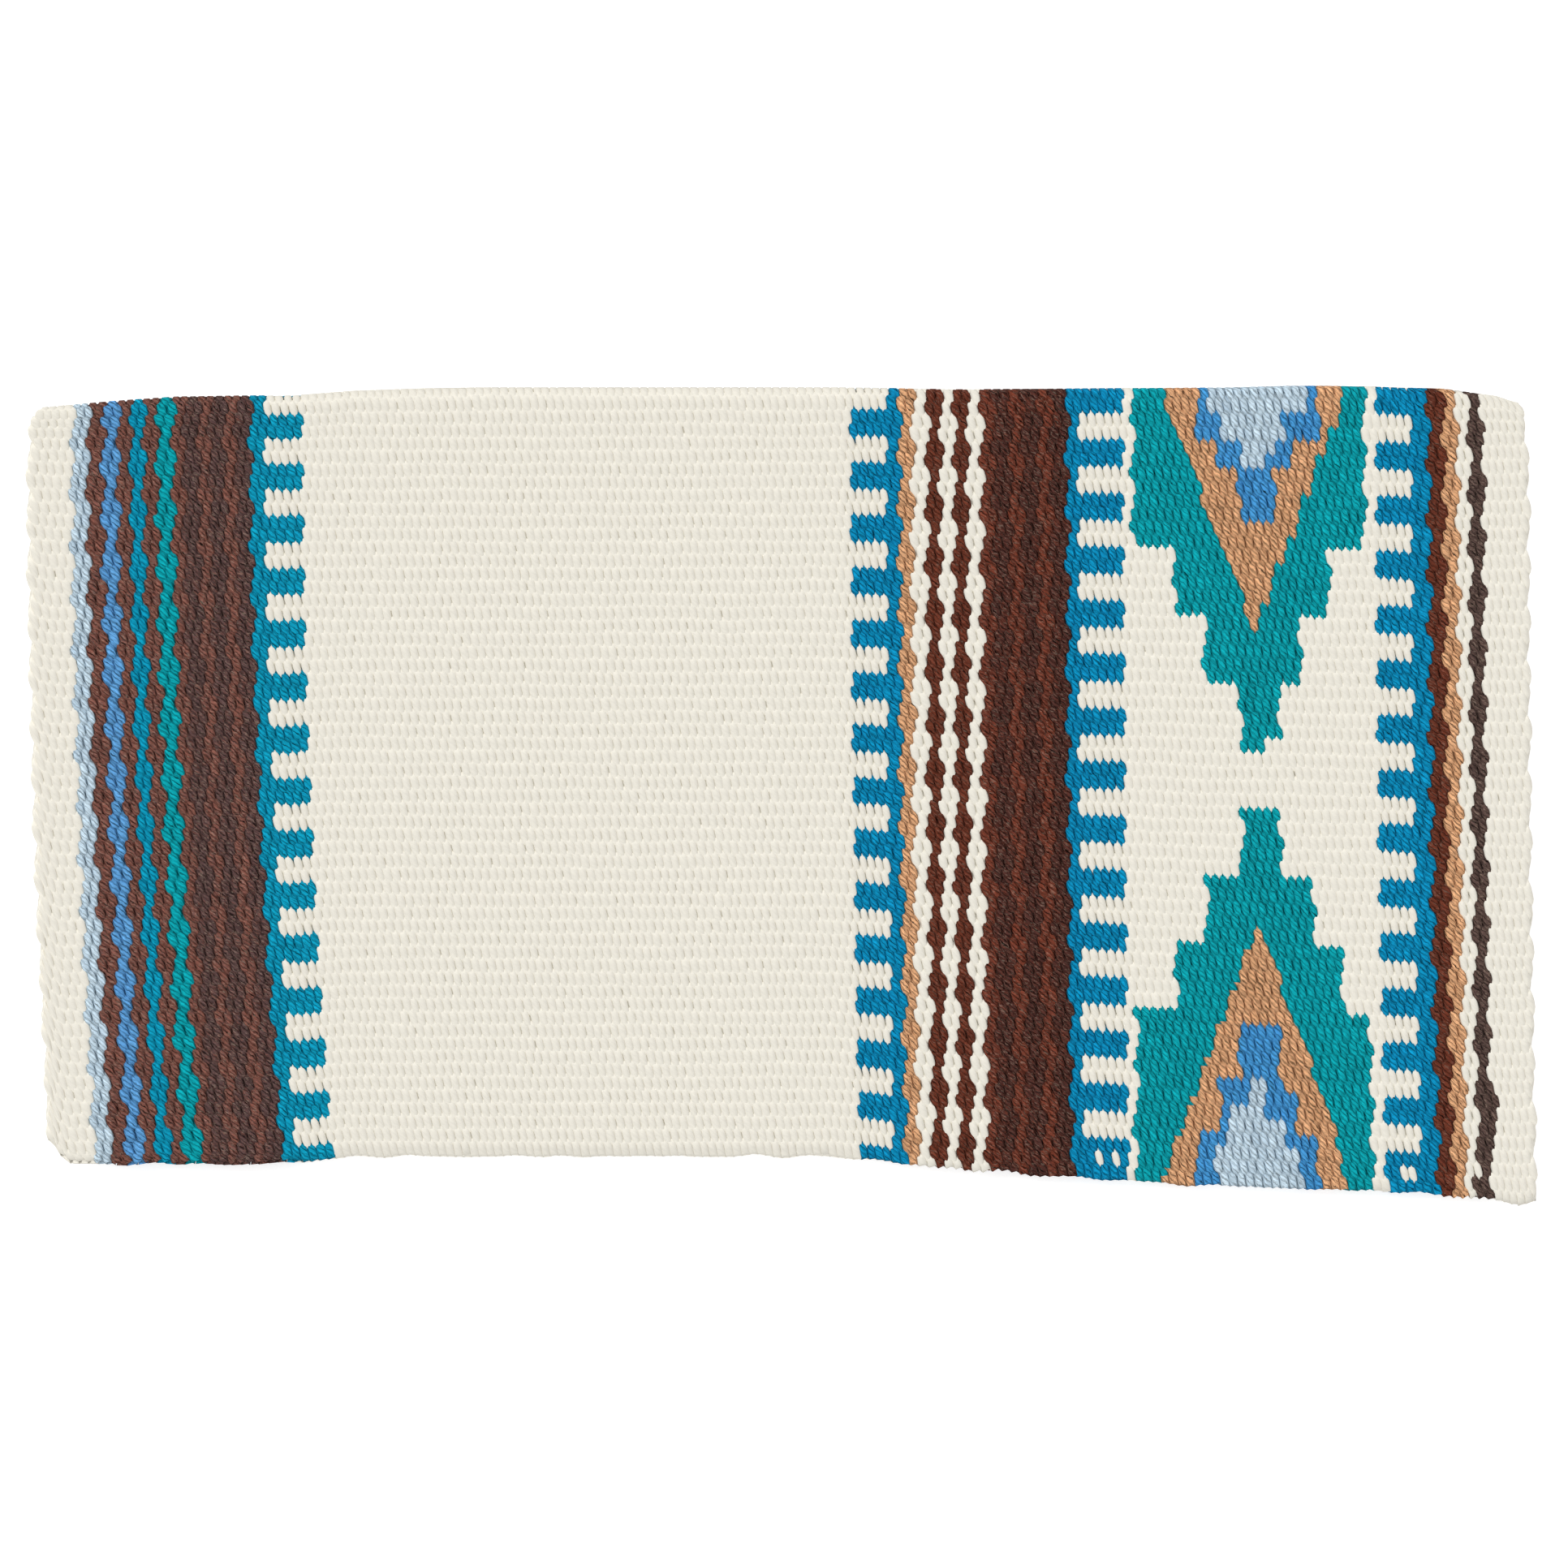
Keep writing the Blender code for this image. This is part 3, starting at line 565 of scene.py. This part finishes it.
def yarn_piece(name, side, area, start, end):
    """The stretches of yarn of one area in one flap, between two places, as one mesh."""
    row = ring_rows[side]
    mask = (areas[side] == area) & (np.diff(row, axis=1) > SHORTEST_STRETCH)
    mask &= ((yarn_place >= start) & (yarn_place < end))[:, None]
    if not mask.any():
        return None
    used = np.zeros(row.shape, bool)
    used[:, :-1] |= mask
    used[:, 1:] |= mask
    number = np.cumsum(used.ravel()).reshape(used.shape) - 1
    points = rings[side][used].reshape(-1, 3)
    yarn, stretch = np.nonzero(mask)
    s = np.arange(SIDES)
    here, there = number[yarn, stretch][:, None] * SIDES, number[yarn, stretch + 1][:, None] * SIDES
    quads = np.stack([here + s, here + (s + 1) % SIDES, there + (s + 1) % SIDES, there + s], axis=-1)
    around = np.stack([s, s + 1, s + 1, s], axis=-1) / SIDES
    along = np.stack([row[yarn, stretch]] * 2 + [row[yarn, stretch + 1]] * 2, axis=-1)
    along = np.broadcast_to(along[:, None, :], quads.shape)
    around = np.broadcast_to(around[None], quads.shape)
    twist = np.random.default_rng(SEEDS["twist"]).uniform(0, 1, YARNS)[yarn][:, None, None]
    yarn_uv = np.stack([side * along * ROW_LENGTH, around + twist], axis=-1)
    column = (yarn % BAKE_COLUMNS)[:, None, None]
    bake_uv = np.stack([(column + BAKE_ACROSS[0] + BAKE_ACROSS[1] * around) / BAKE_COLUMNS,
                        BAKE_DOWN[0] + BAKE_DOWN[1] * along / ROWS], axis=-1)
    before = np.pad(mask, ((0, 0), (1, 0)))[:, :-1]
    after = np.pad(mask, ((0, 0), (0, 1)))[:, 1:]
    first = np.nonzero(mask & ~before)
    last = np.nonzero(mask & ~after)
    caps = np.concatenate([number[first][:, None] * SIDES + s[::-1],
                           number[last[0], last[1] + 1][:, None] * SIDES + s])
    quads = quads.reshape(-1, 4)
    if side < 0:
        quads, caps = quads[:, ::-1], caps[:, ::-1]
        yarn_uv, bake_uv = yarn_uv[:, :, ::-1], bake_uv[:, :, ::-1]
    tint = np.random.default_rng(SEEDS["tint"]).uniform(0, 1, (YARNS, LEAF_DRAWS))
    leaf = tint[yarn, cells[side][0][yarn, stretch] % LEAF_DRAWS]
    values = {"leaf": np.repeat(leaf, SIDES), "streak": np.repeat(yarn_streak[yarn], SIDES)}
    return mesh_from(name, points, quads, caps, {"yarn": yarn_uv, "OFBake": bake_uv}, values,
                     {"painted_gap_shading": painted_gap_shadings[side][used].ravel()})


# %% Every area of both flaps
SPLITS = (0.014, 0.25, 0.985)       # places where wide areas are cut
yarn_pieces = {1: {}, -1: {}}
for side, flap in ((1, "upper"), (-1, "lower")):
    for area, area_name in enumerate(AREA_NAMES):
        found = []
        for start, end in zip((0.0, *SPLITS), (*SPLITS, 1.0)):
            tail = f"_{len(found) + 1}" if found else ""
            piece = yarn_piece(f"{flap}_{area_name}_yarn{tail}", side, area, start, end)
            if piece:
                found.append(piece)
        yarn_pieces[side][area_name] = found
all_yarn = {side: [piece for found in yarn_pieces[side].values() for piece in found] for side in (1, -1)}
total = sum(len(piece.data.polygons) for side in (1, -1) for piece in all_yarn[side])
print(len(all_yarn[1]) + len(all_yarn[-1]), "pieces of yarn,", total, "faces")

# %% [markdown]
# ## Warp cords and the cloth's heart
# The warp cords are covered by the weft, but they fill the cloth. A thin sheet at the cloth's middle
# stands for the packed fibre between them, so no light comes through. Single fibres would be truer, but
# all of them would be hidden.

# %% Warp cords
CORD_RADIUS = 0.0015
CORD_SIDES = 8
CORD_STEPS = 60
CORD_END_PLACE = 0.0012     # a cord stops this far inside the cloth's ends
FIRST_CORD_ROW = 0.2
LAST_CORD_ROW = 59.55
CORDS_IN_FLAP = 60
SAGGING_ROWS = 4            # where the fold sags, the parts inside stop this far from it
STRAIGHT_FOLD = (0.22, 0.96)        # places between which it doesn't sag much


def warp_cords(name, side, cords):
    """Round cords along the spine, as one mesh, two under each float."""
    near_fold = side * np.asarray(cords) < SAGGING_ROWS
    start = np.where(near_fold, STRAIGHT_FOLD[0], CORD_END_PLACE)
    end = np.where(near_fold, STRAIGHT_FOLD[1], 1 - CORD_END_PLACE)
    place = np.linspace(start, end, CORD_STEPS, axis=1)
    row = row_of(place, np.asarray(cords)[:, None], side)
    row[-1] = LAST_CORD_ROW
    row = np.clip(row, FIRST_CORD_ROW, LAST_CORD_ROW)[..., None]
    angle = np.arange(CORD_SIDES) * 2 * math.pi / CORD_SIDES
    row = row + side * CORD_RADIUS / ROW_LENGTH * np.cos(angle)
    points = cloth_point(place[..., None], row, CORD_RADIUS * np.sin(angle), side)
    ring = np.arange(len(cords) * CORD_STEPS).reshape(len(cords), CORD_STEPS)
    s = np.arange(CORD_SIDES)
    here, there = ring[:, :-1, None] * CORD_SIDES, ring[:, 1:, None] * CORD_SIDES
    quads = np.stack([here + s, here + (s + 1) % CORD_SIDES, there + (s + 1) % CORD_SIDES, there + s], -1)
    caps = np.concatenate([ring[:, :1] * CORD_SIDES + s[::-1], ring[:, -1:] * CORD_SIDES + s])
    return mesh_from(name, points.reshape(-1, 3), quads.reshape(-1, 4), caps)


first_cord = TWILL_START % 1 - 0.5
warps = {1: warp_cords("upper_warp_cords", 1, first_cord + np.arange(CORDS_IN_FLAP)),
         -1: warp_cords("lower_warp_cords", -1, first_cord - 1 - np.arange(CORDS_IN_FLAP))}
print("warp cords", 2 * CORDS_IN_FLAP)

# %% The heart of the cloth
HEART_STEPS = 354
HEART_ROWS = 120
HEART_END_PLACE = 0.0016    # the sheet stops this far inside the cloth's ends
HEART_HEM_ROWS = 0.35       # and this far above the hem
HEART_COLOUR_SHARE = 0.9    # a little darker than the yarns, as painted shade for the cloth's inside


def heart(name, side):
    """A thin sheet at the cloth's middle that takes its colours from the yarns over it, a little darkened as
    painted shade.
    """
    place = np.linspace(HEART_END_PLACE, 1 - HEART_END_PLACE, HEART_STEPS)
    row = np.linspace(0, ROWS - HEART_HEM_ROWS, HEART_ROWS)
    points = cloth_point(place[:, None], row[None, :], 0.0, side)
    ids = np.arange(HEART_STEPS * HEART_ROWS).reshape(HEART_STEPS, HEART_ROWS)
    quads = np.stack([ids[:-1, :-1], ids[:-1, 1:], ids[1:, 1:], ids[1:, :-1]], -1)
    straight = (place > STRAIGHT_FOLD[0]) & (place < STRAIGHT_FOLD[1])
    quads = quads[straight[:-1, None] | (row[:-1] > SAGGING_ROWS)[None, :]]
    piece = mesh_from(name, points.reshape(-1, 3), quads[:, ::side])
    nearest = np.abs(yarn_place[None, :] - place[:, None]).argmin(axis=1)
    area = area_map(np.broadcast_to(row, (YARNS, HEART_ROWS)))[nearest]
    table = np.array([WOOLS[AREAS[n]][0] for n in AREA_NAMES]) * HEART_COLOUR_SHARE
    colour = np.concatenate([table[area], np.ones((*area.shape, 1))], axis=-1)
    layer = piece.data.color_attributes.new("dye_with_painted_shade", "FLOAT_COLOR", "POINT")
    layer.data.foreach_set("color", colour.astype(np.float32).ravel())
    return piece


hearts = {1: heart("upper_cloth_heart", 1), -1: heart("lower_cloth_heart", -1)}
print("heart sheets", [len(h.data.polygons) for h in hearts.values()], "faces")

# %% [markdown]
# ## Wool as a material
# Three things make yarn look like wool: the strands that twist round it, the mixture of fibres in
# each strand, and single hairs that lie across the rest. A photo of yarn would repeat and carry its own
# light. Here the twist follows the yarn's own map, metres along and turns around, so its lines always
# lean the same way, on both faces. It is a node group, so every wool shares it with its own colours.
# The lines between the strands get painted shade in the yarn's colour, as do the gaps between leaves; in cream
# those gaps get painted light.

# %% Helpers for nodes


def feed(tree, node, inputs):
    """Gives a node's inputs links, colours or numbers. None leaves an input as it is."""
    for name, value in inputs.items():
        if isinstance(value, bpy.types.NodeSocket):
            tree.links.new(value, node.inputs[name])
        elif value is not None:
            node.inputs[name].default_value = (*value, 1) if isinstance(value, tuple) else value


def add_node(tree, kind, inputs=(), **settings):
    node = tree.nodes.new(kind)
    for name, value in settings.items():
        setattr(node, name, value)
    feed(tree, node, dict(inputs))
    return node


def math_node(tree, operation, a, b=None, c=None, clamp=False):
    node = add_node(tree, "ShaderNodeMath", enumerate((a, b, c)), operation=operation, use_clamp=clamp)
    return node.outputs[0]


def mix_node(tree, share, first, second, blend="MIX"):
    return add_node(tree, "ShaderNodeMix", {"Factor": share, "A": first, "B": second},
                    data_type="RGBA", blend_type=blend).outputs["Result"]


def noise_node(tree, vector, scale, detail=2.0, roughness=0.5):
    return add_node(tree, "ShaderNodeTexNoise", {"Vector": vector, "Scale": scale, "Detail": detail,
                                                 "Roughness": roughness}).outputs["Fac"]


# %% The twisted strands as a node group
PLIES = 5
TWIST_LENGTH = 0.0200       # metres for one turn
WAVER_SCALE, WAVER_TURNS = 380, 0.16        # the twist isn't quite even
STRAND_SHAPE = 0.6          # below 1 the strands are broad and the painted shade lines between them fine
# noises: changes per turn, changes per metre, seed, detail
LOCKS, HAIRS = (16.0, 200.0, 0.0, 2), (44.0, 280.0, 9.0, 2)
DUST, PEPPER = (22.0, 620.0, 17.0, 1), (26.0, 700.0, 31.0, 1)
LEAF_SHIFT = 40.0           # moves the noise on from leaf to leaf
FIBRE_ROUGHNESS, FIBRE_CONTRAST = 0.6, (2.6, -0.8)
# how much the locks, the lot and the leaf decide on the share of other fibres, and where it starts
OTHER_LOCKS, OTHER_LOT, OTHER_LEAF, OTHER_START = 0.75, 1.1, 0.35, -0.55
# how much the strands' painted groove shade and the random tone of locks and hairs decide on light and dark,
# and what counts as neither
TONE_STRAND, TONE_LOCKS, TONE_HAIRS, TONE_MIDDLE = 0.65, 0.45, 0.75, 1.08
PEPPER_CONTRAST, DUST_CONTRAST = (4.0, -2.0), (4.0, -2.7)       # few spots, with clear edges
STRAY_HAIR = (0.45, 0.34, 0.26)
HEIGHT_FIBRES = 0.35        # how far locks and hairs stand out, where a strand counts as 1


def twisted_wool_group():
    group = bpy.data.node_groups.new("twisted_wool", "ShaderNodeTree")
    face = group.interface
    for name, kind in (("Colour", "NodeSocketColor"), ("Other Fibres", "NodeSocketColor"),
                       ("Heather", "NodeSocketFloat"), ("Strand Shade And Fibre Tone", "NodeSocketFloat"),
                       ("Stray Hairs", "NodeSocketFloat"), ("Painted Gap Shading", "NodeSocketFloat")):
        face.new_socket(name=name, in_out="INPUT", socket_type=kind)
    face.new_socket(name="Colour", in_out="OUTPUT", socket_type="NodeSocketColor")
    face.new_socket(name="Height", in_out="OUTPUT", socket_type="NodeSocketFloat")
    inlet = add_node(group, "NodeGroupInput").outputs
    outlet = add_node(group, "NodeGroupOutput")

    def calc(operation, a, b=None, c=None, clamp=False):
        return math_node(group, operation, a, b, c, clamp)

    def value_of(name):
        return add_node(group, "ShaderNodeAttribute", attribute_name=name).outputs["Fac"]

    def fibres(per_turn, per_metre, seed, detail):
        """Noise drawn out along the twist, spread so that it fills 0 to 1."""
        spot = add_node(group, "ShaderNodeCombineXYZ", {
            0: calc("MULTIPLY", turns, per_turn), 1: calc("MULTIPLY", along, per_metre),
            2: calc("MULTIPLY_ADD", leaf, LEAF_SHIFT, seed)}).outputs[0]
        noise = noise_node(group, spot, 1.0, detail, FIBRE_ROUGHNESS)
        return calc("MULTIPLY_ADD", noise, *FIBRE_CONTRAST, clamp=True)

    yarn_map = add_node(group, "ShaderNodeUVMap", uv_map="yarn").outputs["UV"]
    parts = add_node(group, "ShaderNodeSeparateXYZ", {0: yarn_map}).outputs
    along, around = parts["X"], parts["Y"]
    leaf, streak = value_of("leaf"), value_of("streak")
    waver = noise_node(group, add_node(group, "ShaderNodeTexCoord").outputs["Object"], WAVER_SCALE)
    even = calc("MULTIPLY_ADD", along, 1 / TWIST_LENGTH, around)
    turns = calc("ADD", even, calc("MULTIPLY", waver, WAVER_TURNS))
    wave = calc("ABSOLUTE", calc("SINE", calc("MULTIPLY", turns, PLIES * math.pi)))
    strand = calc("POWER", wave, STRAND_SHAPE)
    locks, hairs, dust, pepper = (fibres(*kind) for kind in (LOCKS, HAIRS, DUST, PEPPER))
    # the other fibres: some in every strand, most in the yarns of the other lot
    lot = calc("MULTIPLY_ADD", streak, OTHER_LOT, calc("MULTIPLY_ADD", leaf, OTHER_LEAF, OTHER_START))
    fine = calc("MULTIPLY", calc("MULTIPLY_ADD", pepper, *PEPPER_CONTRAST), inlet["Stray Hairs"])
    mixture = calc("ADD", calc("ADD", calc("MULTIPLY", locks, OTHER_LOCKS), lot), fine, clamp=True)
    share = calc("MULTIPLY", mixture, inlet["Heather"], clamp=True)
    mixed = mix_node(group, share, inlet["Colour"], inlet["Other Fibres"])
    # painted shade in the grooves between the strands, light and dark from the locks and hairs, and the gaps'
    # painted shade
    tone = calc("ADD", calc("MULTIPLY", strand, TONE_STRAND),
                calc("ADD", calc("MULTIPLY", locks, TONE_LOCKS), calc("MULTIPLY", hairs, TONE_HAIRS)))
    swing = calc("MULTIPLY", calc("SUBTRACT", tone, TONE_MIDDLE), inlet["Strand Shade And Fibre Tone"])
    # painted shade in the gaps between leaves, and painted light where the strength is negative, as in cream
    shade = calc("SUBTRACT", 1.0, calc("MULTIPLY", value_of("painted_gap_shading"), inlet["Painted Gap Shading"]))
    scaled = add_node(group, "ShaderNodeVectorMath", {
        0: mixed, "Scale": calc("MULTIPLY", calc("ADD", swing, 1.0), shade)}, operation="SCALE").outputs[0]
    # a few pale hairs that lie across the rest
    stray = calc("MULTIPLY", calc("MULTIPLY_ADD", dust, *DUST_CONTRAST, clamp=True), inlet["Stray Hairs"])
    height = calc("ADD", strand, calc("MULTIPLY", calc("ADD", locks, hairs), HEIGHT_FIBRES))
    feed(group, outlet, {"Colour": mix_node(group, stray, scaled, STRAY_HAIR), "Height": height})
    return group


twisted_wool = twisted_wool_group()
print("node group", twisted_wool.name, "with", len(twisted_wool.nodes), "nodes")

# %% One material for each wool
WOOL_ROUGHNESS, WOOL_SPECULAR = 0.92, 0.04
BUMP_HEIGHT = 0.00035
BUMPS = {"cream": 0.15}     # how strong the bumps are, where it isn't the usual strength
USUAL_BUMP = 0.8
PAINTED_GAP_SHADINGS = {"cream": -0.26, "brown": 0.25, "chestnut": 0.25, "dark_brown": 0.3}      # how strongly the gaps between leaves are painted with shade; negative for cream, whose gaps get painted light
USUAL_PAINTED_GAP_SHADING = 0.45


def new_material(name):
    material = bpy.data.materials.new(name)
    material.use_nodes = True
    return material, material.node_tree, material.node_tree.nodes["Principled BSDF"]


def wool_material(name):
    colour, other, heather, strand_shade_and_tone, hairs = WOOLS[name]
    material, tree, shader = new_material(f"{name}_wool_yarn")
    wool = add_node(tree, "ShaderNodeGroup", node_tree=twisted_wool)
    feed(tree, wool, {"Colour": colour, "Other Fibres": other, "Heather": heather, "Strand Shade And Fibre Tone": strand_shade_and_tone,
                      "Stray Hairs": hairs, "Painted Gap Shading": PAINTED_GAP_SHADINGS.get(name, USUAL_PAINTED_GAP_SHADING)})
    bump = add_node(tree, "ShaderNodeBump", {"Strength": BUMPS.get(name, USUAL_BUMP), "Distance": BUMP_HEIGHT,
                                             "Height": wool.outputs["Height"]})
    feed(tree, shader, {"Roughness": WOOL_ROUGHNESS, "Specular IOR Level": WOOL_SPECULAR,
                        "Base Color": wool.outputs["Colour"], "Normal": bump.outputs["Normal"]})
    return material


materials = {name: wool_material(name) for name in WOOLS}
for side in (1, -1):
    for area_name, found in yarn_pieces[side].items():
        for piece in found:
            piece.data.materials.append(materials[AREAS[area_name]])
print(len(materials), "wool materials")

# %% Materials of the hidden parts
GREY_WOOL = (0.30, 0.24, 0.18)
DEEP_SHADE = (0.75, 0.72, 0.68)     # the darkest that the noise makes it
FIBRE_SCALE, FIBRE_DETAIL = 900, 3


def plain_wool(name, colour=None):
    """Unspun fibre: a soft noise between two shades, over one colour or over the sheet's own dyes, which carry
    a little painted shade.
    """
    material, tree, shader = new_material(name)
    base = colour or add_node(tree, "ShaderNodeAttribute", attribute_name="dye_with_painted_shade").outputs["Color"]
    spot = add_node(tree, "ShaderNodeTexCoord").outputs["Object"]
    fibre = noise_node(tree, spot, FIBRE_SCALE, FIBRE_DETAIL)
    feed(tree, shader, {"Roughness": WOOL_ROUGHNESS,
                        "Base Color": mix_node(tree, fibre, base, DEEP_SHADE, "MULTIPLY")})
    return material


cord_wool = plain_wool("warp_cord_wool", GREY_WOOL)
packed_wool = plain_wool("packed_wool")
for side in (1, -1):
    warps[side].data.materials.append(cord_wool)
    hearts[side].data.materials.append(packed_wool)
print("hidden parts dressed")

# %% [markdown]
# ## Pieces in place of the CAD parts
# The cloth opens at the fold through two hinges. Each piece's placement is baked into its mesh, and the
# CAD parts that the pieces stand for are hidden. A cut at the hinge would tear the cloth, but nothing
# here shares the bend between the spine and the flaps.

# %% Replaced nodes
LOWER_GROUPS = {
    "bead_stripes_left": ("brown_stripe_1", "mid_blue_stripe", "brown_stripe_2", "turquoise_stripe",
                          "brown_stripe_3", "teal_stripe"),
    "bead_stripes_middle": ("cream_stripe_1", "brown_bead_stripe_1", "cream_stripe_2",
                            "brown_bead_stripe_2", "cream_stripe_3"),
    "bead_stripes_right": ("cream_stripe_4", "dark_bead_stripe"),
    "fold_figure_blue": ("fold_figure_blue", "fold_figure_pale"),
    "hem_figure_blue": ("hem_figure_blue", "hem_figure_pale"),
}
group_of = {member: group for group, members in LOWER_GROUPS.items() for member in members}


def bend_with_fold(piece, side):
    """Bakes a piece's placement into its mesh, in the same way for both flaps."""
    if side > 0:
        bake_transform(piece)
    else:
        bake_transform(piece)


for side, flap in ((1, "upper"), (-1, "lower")):
    for area_name, found in yarn_pieces[side].items():
        node = area_name if side > 0 else group_of.get(area_name, area_name)
        wool = AREAS[area_name]
        for piece in found:
            bend_with_fold(piece, side)
            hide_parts(f"{flap}_{node}")
    for hidden in (warps[side], hearts[side]):
        bend_with_fold(hidden, side)
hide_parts("spine_rib")

# %% [markdown]
# ## Floor and light
# The photo has a white ground and soft, even light. A floor bright enough for that would throw light on
# the cloth, so this one glows only where it is seen, and keeps a faint shadow. A wide soft light falls
# from the upper left, and the sky fills in the rest.

# %% Floor
FLOOR_SIZE = 4.0
FLOOR_Z = -0.0004           # just below the lowest yarns
PAPER_GREY, PAPER_ROUGHNESS, PAPER_GLOW = (0.8, 0.8, 0.8), 0.9, 0.45
WHITE = (1, 1, 1)

floor_mesh = bpy.data.meshes.new("floor")
half = FLOOR_SIZE / 2
floor_mesh.from_pydata([(-half, -half, 0), (half, -half, 0), (half, half, 0), (-half, half, 0)], [],
                       [(0, 1, 2, 3)])
floor = bpy.data.objects.new("floor", floor_mesh)
floor.location.z = FLOOR_Z
bpy.context.scene.collection.objects.link(floor)
paper, paper_tree, paper_shader = new_material("white_paper")
rays = add_node(paper_tree, "ShaderNodeLightPath").outputs
seen = math_node(paper_tree, "MAXIMUM", rays["Is Camera Ray"], rays["Is Glossy Ray"])
feed(paper_tree, paper_shader, {
    "Roughness": PAPER_ROUGHNESS, "Base Color": PAPER_GREY, "Emission Color": WHITE,
    "Emission Strength": math_node(paper_tree, "MULTIPLY", seen, PAPER_GLOW)})
floor.data.materials.append(paper)
print("floor", FLOOR_SIZE, "m wide")

# %% Lamps and sky
SKY_STRENGTH = 0.98
SUN_STRENGTH = 1.25
SUN_WIDTH, SUN_TILTS = 35, (-28, -34, 0)    # degrees

world = bpy.data.worlds.new("sky")
bpy.context.scene.world = world
world.use_nodes = True
feed(world.node_tree, world.node_tree.nodes["Background"], {"Color": WHITE, "Strength": SKY_STRENGTH})

sun_data = bpy.data.lights.new("window_light", "SUN")
sun_data.energy = SUN_STRENGTH
sun_data.angle = math.radians(SUN_WIDTH)
sun = bpy.data.objects.new("window_light", sun_data)
sun.rotation_euler = [math.radians(tilt) for tilt in SUN_TILTS]
bpy.context.scene.collection.objects.link(sun)
bpy.context.scene.view_settings.view_transform = "Standard"
